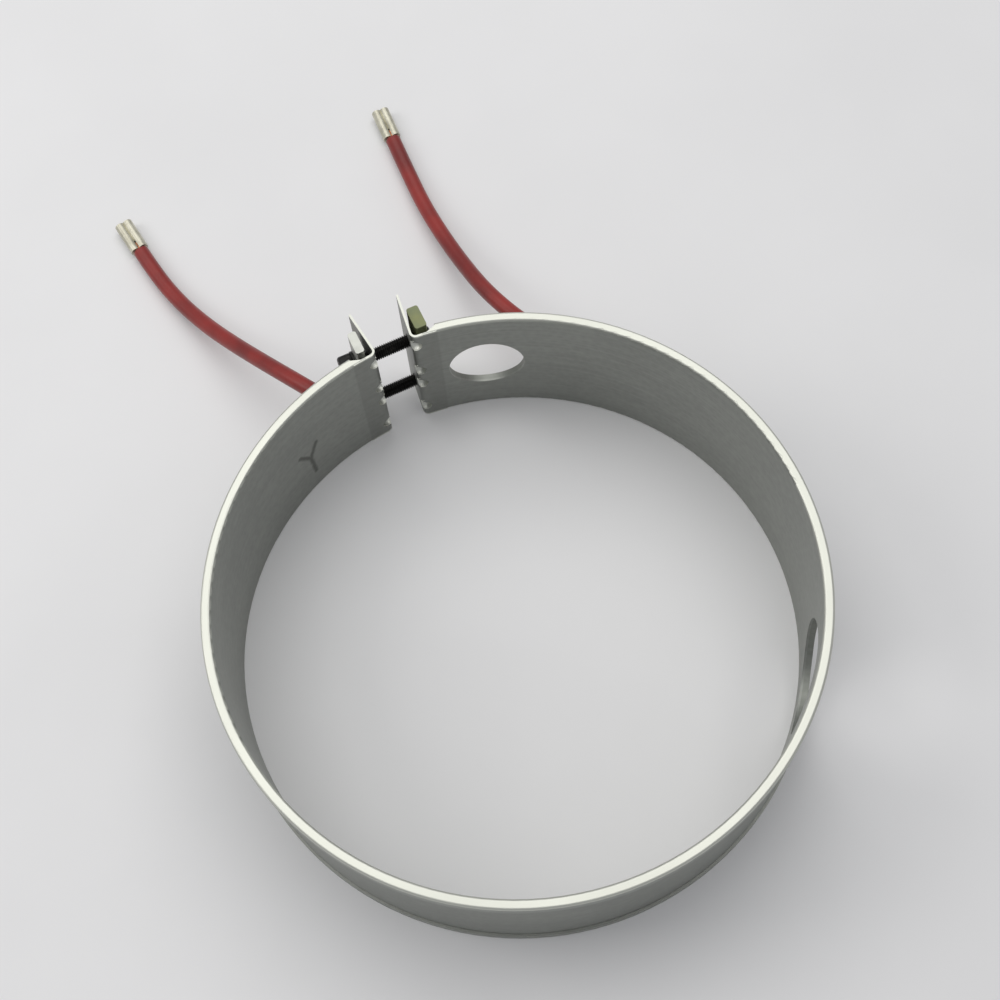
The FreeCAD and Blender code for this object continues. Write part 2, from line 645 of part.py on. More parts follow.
def tube(wire, radius):
    """A round rod along a wire, checked against its section times its length."""
    first = wire.OrderedEdges[0]
    direction = first.tangentAt(first.FirstParameter)
    ring = Part.Wire(Part.makeCircle(radius, wire.OrderedVertexes[0].Point, direction))
    rod = wire.makePipeShell([ring], True, False)
    expected = math.pi * radius ** 2 * wire.Length
    if abs(rod.Volume / expected - 1) > 0.002:
        raise RuntimeError(f"a lead holds {rod.Volume:.1f} mm3, not {expected:.1f}")
    return rod


def lead(name):
    """A lead: its insulation, and the conductor from the terminal strip to the inside of the crimp."""
    points = lead_points(name)
    wire, radii = route_wire(points)
    print(f"lead_{name}: length {wire.Length:.1f} mm, arc radii", [round(radius, 1) for radius in radii])
    inner_run = size(f"{COVER_INNER} - {WINDING_OUTER}")
    bare = size("stripped_length + crimp_grip")
    core_wire = route_wire(points, inner_run + size("ribbon_wall"), bare)[0]
    inside = Part.makeCylinder(size(WINDING_OUTER), size("band_width"))
    conductor = tube(core_wire, size("conductor_radius")).cut(inside)
    bore = tube(route_wire(points, 1.0, 1.0)[0], size("conductor_radius"))
    feature_of(f"conductor_{name}", conductor.Solids[0])
    jacket_start = Part.makeCylinder(size(COVER_INNER), size("band_width"))
    jacket = tube(wire, size("lead_radius")).cut(bore).cut(jacket_start)
    feature_of(f"lead_{name}", jacket.Solids[0])


def crimp(name):
    """A crimp rolled into two lobes on the lead's stripped end. Its own X axis is the lead's."""
    body = new_body(f"crimp_{name}")
    section = new_sketch(body, f"crimp_{name}_section", "YZ_Plane")
    radius, half = size("lobe_radius"), size("lobe_spacing / 2")
    meet = math.sqrt(radius ** 2 - half ** 2)
    right = Vector(half, 0, 0)
    seam, base = Vector(0, meet, 0), Vector(0, -radius, 0)
    base_right, side_right = base + right, Vector(half + radius, 0, 0)
    base_line, right_lobe, left_lobe = section.addGeometry([
        Part.LineSegment(base - right, base_right),
        Part.Arc(base_right, side_right, seam),
        Part.Arc(seam, side_right * -1, base - right)])
    for one, other, kind in ((base_line, right_lobe, "Tangent"), (right_lobe, left_lobe, "Coincident"),
                             (left_lobe, base_line, "Tangent")):
        constrain(section, kind, one, nearest_ends(section, one, other)[0], other,
                  nearest_ends(section, one, other)[1])
    constrain(section, "Equal", right_lobe, left_lobe)
    constrain(section, "Radius", right_lobe, to="lobe_radius")
    locate(section, right_lobe, 3, "lobe_spacing / 2", "0")
    locate(section, left_lobe, 3, "-lobe_spacing / 2", "0")
    pad(body, section, f"crimp_{name}_roll", "crimp_length")
    entry = new_sketch(body, f"crimp_{name}_entry_circle", "YZ_Plane")
    circle(entry, "conductor_radius", "0", "0")
    cut(body, entry, f"crimp_{name}_entry", "crimp_grip", reverse=True)
    mouth = new_sketch(body, f"crimp_{name}_mouth_circles", "YZ_Plane", lift="crimp_length")
    for middle in ("lobe_spacing / 2", "-lobe_spacing / 2"):
        circle(mouth, "lobe_radius - lobe_mouth_wall", middle, "0")
    cut(body, mouth, f"crimp_{name}_mouths", "lobe_mouth_depth")
    before, end = lead_points(name)[-2:]
    along = (end - before).normalize()
    body.Placement = Placement(end + along * size("stripped_length"), Rotation(Vector(1, 0, 0), along))
    doc.recompute()
    return body


# The clamp

def clamp_bar(label, side, wall, hole):
    """A bar behind an ear, with two holes for the screws, on the side +1 or -1."""
    body = new_body(label)
    drawing = new_sketch(body, f"{label}_section", "XY_Plane", lift="bar_inset")
    near, far = f"{side} * {BAR_FACE}", f"{side} * ({BAR_FACE} + {wall})"
    low, high = f"{SCREW_Y} - bar_width / 2", f"{SCREW_Y} + bar_width / 2"
    outline(drawing, [(near, low), (far, low), (far, high), (near, high)])
    pad(body, drawing, f"{label}_length", "band_width - 2 * bar_inset")
    round_edges(body, f"{label}_edges",
                lambda edge: abs(edge.tangentAt(edge.FirstParameter).z) > 0.99, "bar_edge")
    circles = new_sketch(body, f"{label}_hole_circles", "YZ_Plane")
    for height in SCREW_HEIGHTS.values():
        circle(circles, hole, SCREW_Y, height)
    cut(body, circles, f"{label}_holes", f"2 * ({BAR_FACE} + {wall} + 1)", symmetric=True)
    return body


def clamp_screw(name, height):
    """A socket head screw. Its own X axis runs from the seat of its head to its tip."""
    body = new_body(f"screw_{name}")
    section = new_sketch(body, f"screw_{name}_section", "XY_Plane")
    outline(section, [("-head_height", "0"), ("-head_height", "head_radius - head_edge"),
                      ("-(head_height - head_edge)", "head_radius"), ("0", "head_radius"),
                      ("0", "screw_radius"), ("screw_length - screw_chamfer", "screw_radius"),
                      ("screw_length", "screw_radius - screw_chamfer"), ("screw_length", "0")])
    revolve(body, section, f"screw_{name}_turned", "H_Axis")
    hexagon = new_sketch(body, f"screw_{name}_hexagon", "YZ_Plane", lift="-head_height")
    flat, point = "(socket_flats / 2)", "(socket_flats / sqrt(3))"
    outline(hexagon, [(flat, f"{point} / 2"), ("0", point), (f"-{flat}", f"{point} / 2"),
                      (f"-{flat}", f"-{point} / 2"), ("0", f"-{point}"), (flat, f"-{point} / 2")])
    cut(body, hexagon, f"screw_{name}_socket", "socket_depth", reverse=True)
    place(body, (f"-{HEAD_SEAT}", SCREW_Y, height))
    doc.recompute()
    return body


def washer(name, height):
    """A flat washer between the screw's head and the head bar."""
    disc = doc.addObject("Part::Cylinder", f"washer_{name}_disc")
    hole = doc.addObject("Part::Cylinder", f"washer_{name}_hole")
    for cylinder, radius in ((disc, "washer_radius"), (hole, "screw_radius + washer_clearance")):
        bind(cylinder, Radius=radius, Height="washer_wall")
        place(cylinder, (f"-{HEAD_SEAT}", SCREW_Y, height), ("0", "90", "0"))
    return boolean("Cut", f"washer_{name}", disc, hole)


# Assembly

inner_sheath()
cover_sheet()
mica_layer("inner_mica", WEB_OUTER, WINDING_INNER, SHEET_EDGE)
mica_layer("winding_core", CORE_INNER, CORE_OUTER, CORE_EDGE)
mica_layer("outer_mica", WINDING_OUTER, COVER_INNER, SHEET_EDGE, "conductor_radius + sheet_clearance")
resistance_ribbon()
for lead_side, exit_angle in EXITS.items():
    terminal_strip(lead_side, exit_angle)
    eyelet(lead_side, exit_angle)
    lead(lead_side)
    crimp(lead_side)
clamp_bar("head_bar", -1, "head_bar_wall", "screw_radius + screw_hole_clearance")
clamp_bar("nut_bar", 1, "nut_bar_wall", "screw_radius + thread_clearance")
for screw_place, screw_height in SCREW_HEIGHTS.items():
    clamp_screw(screw_place, screw_height)
    washer(screw_place, screw_height)
doc.recompute()

NODES = ["inner_sheath", "cover_sheet", "inner_mica", "winding_core", "resistance_ribbon", "outer_mica",
         "head_bar", "nut_bar"]
NODES += [f"{kind}_{lead_side}" for lead_side in EXITS for kind in ("terminal", "eyelet", "lead", "conductor", "crimp")]
NODES += [f"{kind}_{screw_place}" for screw_place in SCREW_HEIGHTS for kind in ("screw", "washer")]

for thing in doc.Objects:
    if {"Invalid", "Error"} & set(thing.State):
        raise RuntimeError(f"{thing.Label} failed: {thing.State}")
os.makedirs("parts", exist_ok=True)
for node in NODES:
    part = next(thing for thing in doc.Objects if thing.Label == node)
    if part.Shape.isNull() or not part.Shape.isValid() or len(part.Shape.Solids) != 1:
        raise RuntimeError(f"{node} isn't one valid solid")
    part.Shape.exportStep(os.path.join("parts", f"{node}.step"))
    box = part.Shape.BoundBox
    print(f"{node}: {part.Shape.Volume:.1f} mm3, {len(part.Shape.Faces)} faces, "
          f"z {box.ZMin:.2f} to {box.ZMax:.2f}")
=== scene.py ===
"""A mica band heater on a pale table: folded steel band, clamping screws and two red silicone leads."""

import logging
import math
from dataclasses import dataclass, field
from enum import Enum
from typing import Any, Iterable, Sequence

import bmesh
import bpy
from mathutils import Matrix, Vector

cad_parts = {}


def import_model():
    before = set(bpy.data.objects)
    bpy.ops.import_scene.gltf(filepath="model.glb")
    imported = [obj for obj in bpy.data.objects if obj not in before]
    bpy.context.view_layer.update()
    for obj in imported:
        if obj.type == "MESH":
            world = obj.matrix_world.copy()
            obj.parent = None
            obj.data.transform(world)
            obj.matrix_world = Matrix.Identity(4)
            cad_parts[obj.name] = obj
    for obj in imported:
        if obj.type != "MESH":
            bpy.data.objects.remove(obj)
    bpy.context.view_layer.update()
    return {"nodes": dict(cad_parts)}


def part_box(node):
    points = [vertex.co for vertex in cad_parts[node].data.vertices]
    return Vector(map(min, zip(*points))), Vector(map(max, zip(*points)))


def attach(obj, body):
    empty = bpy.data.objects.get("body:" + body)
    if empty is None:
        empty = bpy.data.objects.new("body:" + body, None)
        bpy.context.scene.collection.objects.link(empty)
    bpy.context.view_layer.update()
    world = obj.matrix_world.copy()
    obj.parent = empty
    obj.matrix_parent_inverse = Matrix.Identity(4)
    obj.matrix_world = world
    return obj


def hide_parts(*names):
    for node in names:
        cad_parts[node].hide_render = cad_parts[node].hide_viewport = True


MM = 0.001
TAU = 2 * math.pi
Colour = tuple[float, float, float]
Point = tuple[float, float, float]
Outline = tuple[tuple[float, float], ...]
WELD = 2e-7

log = logging.getLogger("band_heater")


# Node building

class Value:
    """A node's output socket, with arithmetic that adds Math nodes."""

    def __init__(self, tree: bpy.types.NodeTree, socket: bpy.types.NodeSocket) -> None:
        """Wraps a socket of a tree."""
        self.tree = tree
        self.socket = socket

    def math(self, operation: str, *others: "Value | float", swap: bool = False) -> "Value":
        """Adds a Math node.

        Args:
            operation: the node's operation.
            others: its further inputs.
            swap: puts the first of them before this value.

        Returns:
            The node's output.
        """
        made = self.tree.nodes.new("ShaderNodeMath")
        made.operation = operation
        given: list[Value | float] = [self, *others]
        if swap:
            given[0], given[1] = given[1], given[0]
        for socket, item in zip(made.inputs, given):
            feed(self.tree, socket, item)
        return Value(self.tree, made.outputs[0])

    def __add__(self, other: "Value | float") -> "Value":
        """Sum."""
        return self.math("ADD", other)

    def __radd__(self, other: float) -> "Value":
        """Sum with a number in front."""
        return self.math("ADD", other)

    def __sub__(self, other: "Value | float") -> "Value":
        """Difference."""
        return self.math("SUBTRACT", other)

    def __rsub__(self, other: float) -> "Value":
        """Difference with a number in front."""
        return self.math("SUBTRACT", other, swap=True)

    def __mul__(self, other: "Value | float") -> "Value":
        """Product."""
        return self.math("MULTIPLY", other)

    def __rmul__(self, other: float) -> "Value":
        """Product with a number in front."""
        return self.math("MULTIPLY", other)

    def __truediv__(self, other: "Value | float") -> "Value":
        """Quotient."""
        return self.math("DIVIDE", other)

    def __abs__(self) -> "Value":
        """Size without sign."""
        return self.math("ABSOLUTE")

    def least(self, other: "Value | float") -> "Value":
        """The smaller of two values."""
        return self.math("MINIMUM", other)

    def most(self, other: "Value | float") -> "Value":
        """The larger of two values."""
        return self.math("MAXIMUM", other)

    def clamped(self) -> "Value":
        """The value kept between 0 and 1."""
        return self.math("MAXIMUM", 0.0).math("MINIMUM", 1.0)

    def fade(self, zero_at: float, one_at: float) -> "Value":
        """A smooth step from 0 at one value to 1 at another."""
        share = ((self - zero_at) * (1 / (one_at - zero_at))).clamped()
        return share * share * (3.0 - share * 2.0)


def feed(tree: bpy.types.NodeTree, socket: bpy.types.NodeSocket, item: Any) -> None:
    """Links or sets a node's input.

    Args:
        tree: the tree that holds the node.
        socket: the input.
        item: a Value to link, or a number, colour, vector or other setting.
    """
    if isinstance(item, Value):
        tree.links.new(item.socket, socket)
    elif isinstance(item, tuple) and socket.type == "RGBA" and len(item) == 3:
        socket.default_value = (*item, 1.0)
    else:
        socket.default_value = item


class NodeMaker:
    """Adds nodes to one tree."""

    def __init__(self, tree: bpy.types.NodeTree) -> None:
        """Starts with the tree to fill."""
        self.tree = tree

    def node(self, kind: str, settings: dict[str, Any] | None = None,
             inputs: dict[str | int, Any] | None = None, output: str | int = 0) -> Value:
        """Adds a node.

        Args:
            kind: the node's type.
            settings: its properties, which are set first.
            inputs: values or links for its sockets, by name or number.
            output: the output to hand back.

        Returns:
            That output.
        """
        made = self.tree.nodes.new(kind)
        for name, item in (settings or {}).items():
            setattr(made, name, item)
        for name, item in (inputs or {}).items():
            feed(self.tree, made.inputs[name], item)
        return Value(self.tree, made.outputs[output])

    def split(self, vector: Value) -> tuple[Value, ...]:
        """The three parts of a vector."""
        made = self.tree.nodes.new("ShaderNodeSeparateXYZ")
        feed(self.tree, made.inputs[0], vector)
        return tuple(Value(self.tree, socket) for socket in made.outputs)


class Surface(NodeMaker):
    """The node tree of one material, with the patterns that the finishes share. Grains are per metre."""

    def __init__(self, name: str) -> None:
        """Makes an empty material with object coordinates to hand."""
        self.material = bpy.data.materials.new(name)
        self.material.use_nodes = True
        super().__init__(self.material.node_tree)
        self.tree.nodes.clear()
        self.place = self.node("ShaderNodeTexCoord", output="Object")

    def axes(self) -> tuple[Value, ...]:
        """The object coordinates, apart."""
        return self.split(self.place)

    def vector(self, operation: str, inputs: dict[str | int, Any], output: str | int = 0) -> Value:
        """Adds a Vector Math node."""
        return self.node("ShaderNodeVectorMath", {"operation": operation}, inputs, output)

    def stretched(self, scale: Point) -> Value:
        """The object coordinates, scaled along each axis."""
        return self.vector("MULTIPLY", {0: self.place, 1: scale})

    def cells(self, grain: float) -> Value:
        """Distance from the middle of each cell of a crystal pattern."""
        return self.node("ShaderNodeTexVoronoi", {"feature": "F1"},
                         {"Vector": self.stretched((grain, grain, grain)), "Scale": 1.0}, output="Distance")

    def facing(self, name: str = "Normal") -> Value:
        """One of the face's normals, by its name."""
        return self.node("ShaderNodeNewGeometry", output=name)

    def noise(self, scale: Point, detail: float = 3.0, roughness: float = 0.5, seed: float = 0.0) -> Value:
        """Noise from 0 to 1 whose grain is set per metre along each axis."""
        return self.node("ShaderNodeTexNoise", {"noise_dimensions": "4D"},
                         {"Vector": self.stretched(scale), "W": seed, "Scale": 1.0, "Detail": detail,
                          "Roughness": roughness})

    def blend(self, share: Value, first: Colour | Value, second: Colour | Value) -> Value:
        """A colour between two others."""
        made = self.tree.nodes.new("ShaderNodeMix")
        made.data_type = "RGBA"
        feed(self.tree, made.inputs["Factor"], share)
        feed(self.tree, made.inputs[6], first)
        feed(self.tree, made.inputs[7], second)
        return Value(self.tree, made.outputs[2])

    def bump(self, height: Value, depth: float, below: Value | None = None) -> Value:
        """A normal bent by a height from 0 to 1, whose full depth is in metres."""
        inputs: dict[str | int, Any] = {"Strength": 1.0, "Distance": depth, "Height": height}
        if below is not None:
            inputs["Normal"] = below
        return self.node("ShaderNodeBump", {}, inputs)

    def finish(self, **sockets: Any) -> bpy.types.Material:
        """Closes the tree with a Principled shader.

        Args:
            sockets: its inputs, with underscores for spaces.

        Returns:
            The material.
        """
        shader = self.node("ShaderNodeBsdfPrincipled", {},
                           {name.replace("_", " "): item for name, item in sockets.items()})
        end = self.tree.nodes.new("ShaderNodeOutputMaterial")
        feed(self.tree, end.inputs["Surface"], shader)
        return self.material


# Finishes

@dataclass(frozen=True)
class Scuff:
    """A dark rub on the inner wall: strokes in metres round the wall and up from the lower rim."""

    angle: float = 114.0
    wall: float = 0.1
    strokes: tuple[tuple[Point, Point], ...] = (
        ((-0.0035, 0.0300, 0.0), (0.0005, 0.0225, 0.0)),
        ((0.0050, 0.0290, 0.0), (0.0005, 0.0225, 0.0)),
        ((0.0005, 0.0225, 0.0), (0.0000, 0.0110, 0.0)))
    width: float = 0.0011
    ragged: float = 0.0011
    grain: Point = (700.0, 700.0, 700.0)

    def mask(self, surface: Surface) -> Value:
        """How much of the rub is at each point, from 0 to 1."""
        turn = math.radians(self.angle)
        x, y, z = surface.axes()
        out = x * math.cos(turn) + y * math.sin(turn)
        across = x * -math.sin(turn) + y * math.cos(turn)
        here = surface.node("ShaderNodeCombineXYZ", {}, {0: across, 1: z, 2: 0.0})
        nearest: Value | None = None
        for start, end in self.strokes:
            run = Vector(end) - Vector(start)
            offset = surface.vector("SUBTRACT", {0: here, 1: start})
            along = surface.vector("DOT_PRODUCT", {0: offset, 1: tuple(run / run.length_squared)}, "Value")
            point = surface.vector("SCALE", {0: tuple(run), "Scale": along.clamped()})
            gap = surface.vector("DISTANCE", {0: offset, 1: point}, "Value")
            nearest = gap if nearest is None else nearest.least(gap)
        ragged = surface.noise(self.grain, 4.0) * self.ragged
        inside = out.fade(self.wall * 1.004, self.wall * 1.001) * out.fade(self.wall * 0.9, self.wall * 0.95)
        return (nearest + ragged).fade(self.width * 1.9, self.width * 0.7) * inside


@dataclass(frozen=True)
class FoldedRim:
    """The folded section of the sheath: its rounded rims, in metres, with painted highlights on the rims and
    in the bends.
    """

    inner: float = 0.1
    outer: float = 0.1036
    half_width: float = 0.03
    fold: float = 0.001
    ear_root: float = 0.0100
    fold_end: float = 0.0156
    agreement: tuple[float, float] = (0.75, 0.85)
    # painted highlight colour of the rims
    bright: Colour = (0.60, 0.61, 0.555)
    # painted highlight colour for each dimple's upward side in the bends
    dimple_highlight_colour: Colour = (0.74, 0.75, 0.69)
    plain: Colour = (0.16, 0.165, 0.15)

    def normal(self, surface: Surface) -> Value:
        """The exact normal of the round section, blended out at the ears and on cut edges."""
        x, y, z = surface.axes()
        reach = (x * x + y * y).math("SQRT")
        level = z - self.half_width
        inwards = ((reach - self.inner - self.fold) / self.fold).most(-1.0).least(0.0)
        outwards = ((reach - self.outer + self.fold) / self.fold).clamped()
        across = (inwards + outwards) / reach
        upwards = ((abs(level) - self.half_width + self.fold) / self.fold).clamped() * level.math("SIGN")
        outwards_and_up = surface.node("ShaderNodeCombineXYZ", {}, {0: x * across, 1: y * across, 2: upwards})
        exact = surface.vector("NORMALIZE", {0: outwards_and_up})
        likeness = surface.vector("DOT_PRODUCT", {0: surface.facing("True Normal"), 1: exact}, "Value")
        clear_of_ears = abs(x).fade(self.ear_root, self.ear_root + self.fold).most(y.fade(0.0, -self.fold))
        inputs = {0: likeness.fade(*self.agreement) * clear_of_ears, 4: surface.facing(), 5: exact}
        return surface.node("ShaderNodeMix", {"data_type": "VECTOR"}, inputs, output=1)

    def painted_rim_highlight(self, surface: Surface) -> Value:
        """How much painted highlight the rims get, from 0 to 1."""
        level = abs(surface.axes()[2] - self.half_width)
        return level.fade(self.half_width - self.fold * 1.1, self.half_width - self.fold * 0.4)

    def painted_dimple_highlight(self, surface: Surface) -> Value:
        """Painted highlight on the upward-facing side of each dimple in the bends, from 0 to 1."""
        x, y, _ = surface.axes()
        upwards = surface.split(surface.facing())[2].fade(0.05, 0.35)
        in_the_bend = abs(x).fade(self.ear_root * 1.15, self.ear_root)
        return upwards * in_the_bend * y.fade(self.inner * 0.9, self.inner * 0.95)

    def worked(self, surface: Surface) -> Value:
        """The plain ends of the strip between the folds' ends and the ears, from 0 to 1."""
        x, y, _ = surface.axes()
        return abs(x).fade(self.fold_end + self.fold, self.fold_end) * y.fade(0.0, self.fold)


@dataclass(frozen=True)
class RolledSheet:
    """Zinc-coated steel strip: satin, faintly streaked along the strip, clouded and handled."""

    name: str
    light: Colour
    dark: Colour
    roughness: float
    metallic: float = 0.85
    scuff: Scuff | None = None
    rim: FoldedRim | None = None
    seed: float = 0.0
    streak_grain: Point = (9.0, 9.0, 900.0)
    fine_grain: Point = (60.0, 60.0, 4200.0)
    cloud_grain: Point = (22.0, 22.0, 34.0)
    speck_grain: Point = (1500.0, 1500.0, 1500.0)
    spangle_grain: float = 420.0
    ripple_grain: Point = (28.0, 28.0, 46.0)
    ripple_depth: float = 0.0002
    grain_depth: float = 0.000006
    rubbed: Colour = (0.05, 0.05, 0.045)

    def material(self) -> bpy.types.Material:
        """Builds the material."""
        surface = Surface(self.name)
        streaks = surface.noise(self.streak_grain, 3.0, 0.6, self.seed)
        fine = surface.noise(self.fine_grain, 2.0, 0.5, self.seed + 3)
        clouds = surface.noise(self.cloud_grain, 3.0, 0.55, self.seed + 7)
        spangle = surface.cells(self.spangle_grain)
        specks = surface.noise(self.speck_grain, 2.0, 0.5, self.seed + 11).fade(0.66, 0.76)
        shade = (streaks * 0.35 + fine * 0.15 + clouds * 0.4 + spangle * 0.12).fade(0.3, 0.75)
        shade = (shade - specks * 0.25).clamped()
        colour = surface.blend(shade, self.dark, self.light)
        roughness = (streaks - 0.5) * 0.12 + (clouds - 0.5) * 0.22 + specks * 0.1 + self.roughness
        if self.scuff is not None:
            rub = self.scuff.mask(surface)
            colour = surface.blend(rub * 0.5, colour, self.rubbed)
            roughness = roughness + rub * 0.2
        base: Value | None = None
        if self.rim is not None:
            colour = surface.blend(self.rim.worked(surface) * 0.3, colour, self.rim.plain)
            # painted highlight on each dimple's upward-facing side
            colour = surface.blend(self.rim.painted_dimple_highlight(surface), colour, self.rim.dimple_highlight_colour)
            # painted highlight on the rims, which also makes them a little less rough
            painted_rim_highlight = self.rim.painted_rim_highlight(surface)
            colour = surface.blend(painted_rim_highlight, colour, self.rim.bright)
            roughness = roughness - painted_rim_highlight * 0.06
            base = self.rim.normal(surface)
        waves = surface.noise(self.ripple_grain, 2.0, 0.5, self.seed + 17)
        ripple = surface.bump(waves, self.ripple_depth, base)
        normal = surface.bump(fine * 0.7 + spangle * 0.3, self.grain_depth, ripple)
        return surface.finish(Base_Color=colour, Metallic=self.metallic, Roughness=roughness.clamped(),
                              Normal=normal)


@dataclass(frozen=True)
class PlatedSteel:
    """Electroplated steel: bright, with soft mottling and rubbed patches."""

    name: str
    light: Colour
    dark: Colour
    roughness: float
    metallic: float = 0.9
    seed: float = 0.0
    mottle_grain: Point = (240.0, 240.0, 160.0)
    scratch_grain: Point = (2600.0, 900.0, 120.0)
    patch_grain: Point = (90.0, 90.0, 70.0)
    scratch_depth: float = 0.00001

    def material(self) -> bpy.types.Material:
        """Builds the material."""
        surface = Surface(self.name)
        mottle = surface.noise(self.mottle_grain, 4.0, 0.6, self.seed)
        scratches = surface.noise(self.scratch_grain, 2.0, 0.5, self.seed + 5)
        patches = surface.noise(self.patch_grain, 2.0, 0.5, self.seed + 9)
        shade = (mottle * 0.6 + patches * 0.4).fade(0.32, 0.68)
        colour = surface.blend(shade, self.dark, self.light)
        roughness = (mottle - 0.5) * 0.2 + scratches * 0.08 + self.roughness
        normal = surface.bump(scratches * 0.6 + mottle * 0.4, self.scratch_depth)
        return surface.finish(Base_Color=colour, Metallic=self.metallic, Roughness=roughness.clamped(),
                              Normal=normal)


@dataclass(frozen=True)
class BlackOxide:
    """Blackened, lightly oiled steel, worn brighter in patches by handling."""

    name: str = "blackened_steel"
    colour: Colour = (0.012, 0.012, 0.011)
    worn: Colour = (0.06, 0.058, 0.052)

    def material(self) -> bpy.types.Material:
        """Builds the material."""
        surface = Surface(self.name)
        grain = surface.noise((1800.0, 1800.0, 1800.0), 3.0, 0.6)
        wear = surface.noise((420.0, 420.0, 420.0), 3.0, 0.5, 4.0).fade(0.52, 0.75)
        colour = surface.blend(wear * 0.7, self.colour, self.worn)
        roughness = grain * 0.18 + 0.3 - wear * 0.06
        return surface.finish(Base_Color=colour, Metallic=0.55, Roughness=roughness,
                              Normal=surface.bump(grain, 0.000006))


@dataclass(frozen=True)
class SiliconeRubber:
    """Deep red silicone: smooth and waxy, with faint ripples and a little dust."""

    name: str = "red_silicone"
    bright: Colour = (0.28, 0.016, 0.011)
    deep: Colour = (0.16, 0.009, 0.007)
    dust: Colour = (0.32, 0.13, 0.11)

    def material(self) -> bpy.types.Material:
        """Builds the material."""
        surface = Surface(self.name)
        cloud = surface.noise((60.0, 60.0, 60.0), 3.0, 0.5)
        ripple = surface.noise((170.0, 170.0, 170.0), 2.0, 0.5, 2.0)
        dust = surface.noise((1900.0, 1900.0, 1900.0), 3.0, 0.6, 6.0).fade(0.62, 0.74)
        colour = surface.blend(cloud.fade(0.3, 0.7), self.deep, self.bright)
        colour = surface.blend(dust * 0.22, colour, self.dust)
        roughness = (cloud - 0.5) * 0.16 + dust * 0.2 + 0.42
        return surface.finish(Base_Color=colour, Roughness=roughness, Sheen_Weight=0.15, Sheen_Roughness=0.4,
                              Normal=surface.bump(ripple, 0.00012))


@dataclass(frozen=True)
class MicaBoard:
    """Pressed mica: silvery tan, with flakes of many tones."""

    name: str = "mica_board"
    pale: Colour = (0.50, 0.43, 0.31)
    deep: Colour = (0.27, 0.21, 0.13)

    def material(self) -> bpy.types.Material:
        """Builds the material."""
        surface = Surface(self.name)
        flakes = surface.cells(600.0)
        cloud = surface.noise((70.0, 70.0, 70.0), 3.0)
        colour = surface.blend((flakes * 0.6 + cloud * 0.5).fade(0.3, 0.8), self.deep, self.pale)
        return surface.finish(Base_Color=colour, Roughness=flakes * 0.3 + 0.3, Coat_Weight=0.2,
                              Normal=surface.bump(flakes, 0.00002))


@dataclass(frozen=True)
class Copper:
    """Bare copper strand, dulled by handling."""

    name: str = "bare_copper"
    bright: Colour = (0.62, 0.27, 0.13)
    dull: Colour = (0.30, 0.13, 0.07)

    def material(self) -> bpy.types.Material:
        """Builds the material."""
        surface = Surface(self.name)
        tarnish = surface.noise((900.0, 900.0, 900.0), 3.0)
        colour = surface.blend(tarnish.fade(0.35, 0.7), self.bright, self.dull)
        return surface.finish(Base_Color=colour, Metallic=0.9, Roughness=tarnish * 0.3 + 0.25)


@dataclass(frozen=True)
class TableTop:
    """Pale matte table."""

    name: str = "table_top"
    pale: Colour = (0.80, 0.80, 0.81)
    deep: Colour = (0.765, 0.765, 0.775)

    def material(self) -> bpy.types.Material:
        """Builds the material."""
        surface = Surface(self.name)
        grain = surface.noise((5.0, 5.0, 5.0), 4.0, 0.6)
        colour = surface.blend(grain.fade(0.3, 0.7), self.deep, self.pale)
        return surface.finish(Base_Color=colour, Roughness=0.85)


class Finish(Enum):
    """The heater's finishes."""

    INNER_SHEET = RolledSheet("sheath_zinc", (0.36, 0.37, 0.345), (0.25, 0.26, 0.24), 0.46, scuff=Scuff(),
                              rim=FoldedRim())
    COVER = RolledSheet("cover_zinc", (0.30, 0.31, 0.285), (0.20, 0.21, 0.19), 0.48, seed=31.0)
    WHITE_ZINC = PlatedSteel("white_zinc", (0.58, 0.59, 0.55), (0.42, 0.43, 0.40), 0.42)
    YELLOW_ZINC = PlatedSteel("yellow_plate", (0.26, 0.275, 0.13), (0.20, 0.225, 0.125), 0.6, 0.3, seed=13.0)
    TINNED = PlatedSteel("tinned_crimp", (0.74, 0.72, 0.60), (0.48, 0.46, 0.37), 0.36, seed=23.0)
    EYELET = PlatedSteel("plated_eyelet", (0.66, 0.66, 0.62), (0.45, 0.45, 0.42), 0.3, seed=43.0)
    ALLOY = PlatedSteel("resistance_alloy", (0.42, 0.40, 0.37), (0.28, 0.26, 0.24), 0.4, seed=53.0)
    BLACK = BlackOxide()
    SILICONE = SiliconeRubber()
    MICA = MicaBoard()
    COPPER = Copper()
    TABLE = TableTop()

    def material(self) -> bpy.types.Material:
        """The finish's material, which is built once."""
        return bpy.data.materials.get(self.value.name) or self.value.material()


# Mesh helpers

def new_object(name: str, mesh: bpy.types.ID) -> bpy.types.Object:
    """An object in the scene, at the origin.

    Args:
        name: the object's name.
        mesh: its mesh or curve.

    Returns:
        The object.
    """
    made = bpy.data.objects.new(name, mesh)
    bpy.context.scene.collection.objects.link(made)
    return made


def dress(node: bpy.types.Object, finish: Finish) -> None:
    """Gives a CAD node its finish."""
    node.data.materials.clear()
    node.data.materials.append(finish.material())
    log.info("%s: %s", node.name, finish.name.lower())


def evaluated(made: bpy.types.Object) -> bpy.types.Mesh:
    """The object's mesh with its modifiers applied."""
    graph = bpy.context.evaluated_depsgraph_get()
    return bpy.data.meshes.new_from_object(made.evaluated_get(graph), depsgraph=graph)


def ring(work: bmesh.types.BMesh, points: Iterable[Vector]) -> list[bmesh.types.BMVert]:
    """New vertices at the points."""
    return [work.verts.new(point) for point in points]


def bridge(work: bmesh.types.BMesh, first: Sequence[bmesh.types.BMVert],
           second: Sequence[bmesh.types.BMVert]) -> None:
    """Faces between two closed rings of equal count."""
    count = len(first)
    for number in range(count):
        after = (number + 1) % count
        work.faces.new((first[number], first[after], second[after], second[number]))


# Geometry nodes

